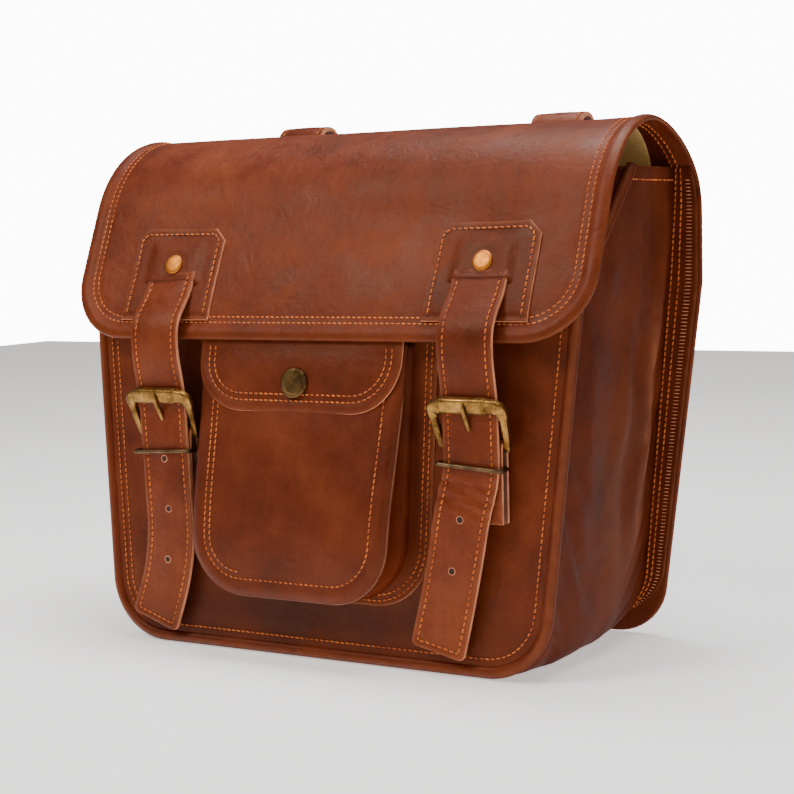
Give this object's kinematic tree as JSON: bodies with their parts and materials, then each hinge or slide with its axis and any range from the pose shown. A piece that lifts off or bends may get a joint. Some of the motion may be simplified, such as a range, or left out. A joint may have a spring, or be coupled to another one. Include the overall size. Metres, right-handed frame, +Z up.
{
  "type": "saddle bag",
  "caption": "Leather saddle bag with a fold-over flap, buckled straps, a snap-flap front pocket and two rear loops that slide over a carrier rail.",
  "frame": {"origin": "middle of the base, on the surface the bag stands on", "axes": "+X to the right when facing the front, the front faces -Y, +Z up"},
  "size_m": [0.336, 0.1687, 0.2805],
  "materials": {
    "shell_leather": "oiled, cloudy reddish brown",
    "strap_leather": "oiled reddish brown with tan cut edges",
    "pocket_leather": "oiled darker brown",
    "lining_cloth": "plain woven cotton, golden cream",
    "antique_brass": "antique, rubbed bright on the high spots",
    "bright_brass": "satin",
    "worn_brass": "dark antique, worn rim",
    "bronze_wire": "dark bronze",
    "magnet_steel": "plated"
  },
  "bodies": {
    "bag": {"back_panel": "shell_leather", "front_panel": "shell_leather", "front_rim": "shell_leather", "gusset": "shell_leather", "lining": "lining_cloth", "left_body_magnet": "magnet_steel", "left_rail_loop": "strap_leather", "left_loop_rivets": "bright_brass", "right_body_magnet": "magnet_steel", "right_rail_loop": "strap_leather", "right_loop_rivets": "bright_brass", "pocket_backing": "pocket_leather", "pocket_gusset": "pocket_leather", "pocket_front": "pocket_leather", "pocket_flap_root": "pocket_leather", "snap_stud": "worn_brass"},
    "flap": {"flap": "shell_leather", "left_strap_tab": "strap_leather", "left_patch": "shell_leather", "left_strap_rivet": "bright_brass", "right_strap_tab": "strap_leather", "right_patch": "shell_leather", "right_strap_rivet": "bright_brass"},
    "left_strap_unit": {"left_strap": "strap_leather", "left_buckle": "antique_brass", "left_chape": "strap_leather", "left_strap_magnet": "magnet_steel"},
    "left_tongue": {"left_tongue": "antique_brass"},
    "left_keeper": {"left_keeper": "bronze_wire"},
    "right_strap_unit": {"right_strap": "strap_leather", "right_buckle": "antique_brass", "right_chape": "strap_leather", "right_strap_magnet": "magnet_steel"},
    "right_tongue": {"right_tongue": "antique_brass"},
    "right_keeper": {"right_keeper": "bronze_wire"},
    "pocket_flap": {"pocket_flap": "pocket_leather", "snap_cap": "worn_brass"}
  },
  "joints": [
    {"name": "flap_fold", "type": "hinge", "parent": "bag", "child": "flap", "pos_m": [0, 0.04826, 0.26346], "axis": [-1, 0, 0], "range_deg": [0, 110]},
    {"name": "left_strap_lift", "type": "hinge", "parent": "flap", "child": "left_strap_unit", "pos_m": [-0.093, -0.0626, 0.1895], "axis": [-1, 0, 0], "range_deg": [0, 80]},
    {"name": "left_tongue_pivot", "type": "hinge", "parent": "left_strap_unit", "child": "left_tongue", "pos_m": [-0.0905, -0.063, 0.115], "axis": [1, 0, 0], "range_deg": [0, 6]},
    {"name": "left_keeper_slide", "type": "slide", "parent": "left_strap_unit", "child": "left_keeper", "axis": [0, 0, 1], "range_m": [0, 0.003]},
    {"name": "right_strap_lift", "type": "hinge", "parent": "flap", "child": "right_strap_unit", "pos_m": [0.095, -0.0626, 0.1895], "axis": [-1, 0, 0], "range_deg": [0, 80]},
    {"name": "right_tongue_pivot", "type": "hinge", "parent": "right_strap_unit", "child": "right_tongue", "pos_m": [0.0955, -0.063, 0.115], "axis": [1, 0, 0], "range_deg": [0, 6]},
    {"name": "right_keeper_slide", "type": "slide", "parent": "right_strap_unit", "child": "right_keeper", "axis": [0, 0, 1], "range_m": [0, 0.003]},
    {"name": "pocket_flap_fold", "type": "hinge", "parent": "bag", "child": "pocket_flap", "pos_m": [0, -0.0616, 0.163], "axis": [-1, 0, 0], "range_deg": [0, 80]}
  ]
}
